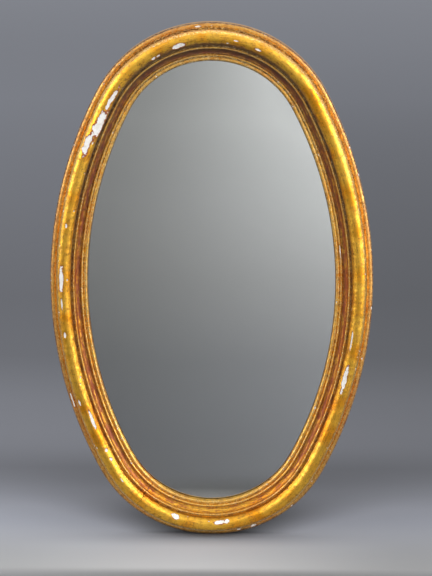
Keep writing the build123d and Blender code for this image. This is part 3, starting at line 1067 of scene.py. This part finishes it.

# %% [markdown]
# ## Painted light and shade on the floor
# The painted tones above only change with distance. Three painted factors change them sideways.
# What the glass shows is painted lighter on its right, as in a room lit from that side. The camera
# sees the same floor from other sides too, so its own rays are left out of this. The floor close
# behind is painted a little lighter on the left. And at the foot a pool of light is painted in
# front, and a soft painted shadow behind, which widens with distance and deepens the shadow that
# the mirror casts. All are factors on the tone, and the result is held below white.

# %% Shade the floor sideways
# painted light: what the glass shows is lighter on the right
painted_glass_light = studio.between(to_the_right, -0.5, 0.75, 0.55, 2.10)
seen_by_camera = studio.node("ShaderNodeLightPath").outputs["Is Camera Ray"]
painted_glass_light = studio.blend(seen_by_camera, painted_glass_light, 1.0)

# painted light: the floor close behind is lighter on the left
painted_light_behind = studio.between(to_the_right, -0.5, 0.5, 1.16, 0.84)
far_off = studio.between(to_the_back, 2.5, 8.0)
painted_floor_light = studio.blend(far_off, painted_light_behind, 1.0)

# a painted pool of light in front of the foot
from_middle = studio.math("ABSOLUTE", studio.plus(to_the_right, 0.02))
pool_across = studio.between(from_middle, 0.0, 0.34, 0.65, 0.0)
pool_front = studio.between(to_the_back, -0.19, -0.155)
pool_back = studio.between(to_the_back, -0.08, -0.02, 1.0, 0.0)
painted_light_pool = studio.times(pool_across, studio.times(pool_front, pool_back))
painted_floor_light = studio.plus(painted_floor_light, painted_light_pool)

# a painted shadow behind the foot
aside = studio.math("ABSOLUTE", to_the_right)
patch_reach = studio.plus(studio.times(to_the_back, 1.4), 0.15)
patch_across = studio.between(studio.math("DIVIDE", aside, patch_reach), 0.2, 1.0, 1.0, 0.0)
patch_front = studio.between(to_the_back, -0.02, -0.004)
patch_depth = studio.between(to_the_back, 0.05, 0.20, 0.95, 0.35)
patch_back = studio.between(to_the_back, 0.22, 0.45, 1.0, 0.0)
painted_shadow_patch = studio.times(patch_across, studio.times(patch_front, studio.times(patch_depth, patch_back)))
painted_floor_light = studio.times(painted_floor_light, studio.math("SUBTRACT", 1.0, painted_shadow_patch))

in_front = studio.between(to_the_back, -0.35, -0.2, 1.0, 0.0)
sideways = studio.blend(in_front, painted_floor_light, painted_glass_light)
brightest_floor = 0.85
lit = studio.node("ShaderNodeVectorMath", {
    0: tones.outputs["Color"], "Scale": sideways,
}, operation="SCALE")
held = studio.node("ShaderNodeVectorMath", {
    0: lit.outputs[0], 1: (brightest_floor, brightest_floor, brightest_floor),
}, operation="MINIMUM")
studio.shade("Base Color", held.outputs[0])
floor.data.materials.append(studio.material)
print(len(studio.tree.nodes), "nodes in the floor")

# %% [markdown]
# ## Soft light from both sides
# Gold has almost no colour of its own: it shows what stands round it. The long light lines on
# both flanks of the torus come from tall soft lamps at either side, and the one along the top
# from a wide lamp overhead, a little behind the mirror. A grey world fills the rest, so that
# nothing goes black. It is darker at the height of the walls than overhead, as a room is, and
# gold needs that contrast.

# %% Place the lamps
world = bpy.data.worlds.new("studio")
world.use_nodes = True
sky = world.node_tree
direction = sky.nodes.new("ShaderNodeTexCoord").outputs["Generated"]
upward = sky.nodes.new("ShaderNodeSeparateXYZ")
sky.links.new(direction, upward.inputs[0])
brightness = sky.nodes.new("ShaderNodeMapRange")
wall_light, sky_light = 0.42, 1.05
for name, value in (
    ("From Min", 0.0), ("From Max", 0.9), ("To Min", wall_light), ("To Max", sky_light),
):
    brightness.inputs[name].default_value = value
sky.links.new(upward.outputs["Z"], brightness.inputs["Value"])
sky.links.new(brightness.outputs["Result"], sky.nodes["Background"].inputs["Strength"])
sky.nodes["Background"].inputs["Color"].default_value = (0.95, 0.97, 1.0, 1.0)
bpy.context.scene.world = world
bpy.context.scene.view_settings.view_transform = "Standard"

aim_point = Vector((0, 0, middle_height))


def soft_lamp(name, place, wide, tall, power):
    """A rectangular soft lamp that faces the middle of the mirror."""
    data = bpy.data.lights.new(name, "AREA")
    data.shape = "RECTANGLE"
    data.size, data.size_y = wide, tall
    data.energy = power
    lamp = bpy.data.objects.new(name, data)
    lamp.location = place
    lamp.rotation_euler = (aim_point - lamp.location).to_track_quat("-Z", "Y").to_euler()
    bpy.context.scene.collection.objects.link(lamp)


lamps = (
    # name, place, width and height in metres, watts
    ("left_lamp", (-2.5, -1.25, 0.45), 1.7, 1.9, 38),
    ("right_lamp", (2.4, -1.25, 0.45), 1.7, 1.9, 56),
    ("top_lamp", (0.1, 0.6, 2.5), 2.6, 1.4, 13),
)
for name, place, wide, tall, power in lamps:
    soft_lamp(name, Vector(place), wide, tall, power)
print(len(lamps), "lamps")
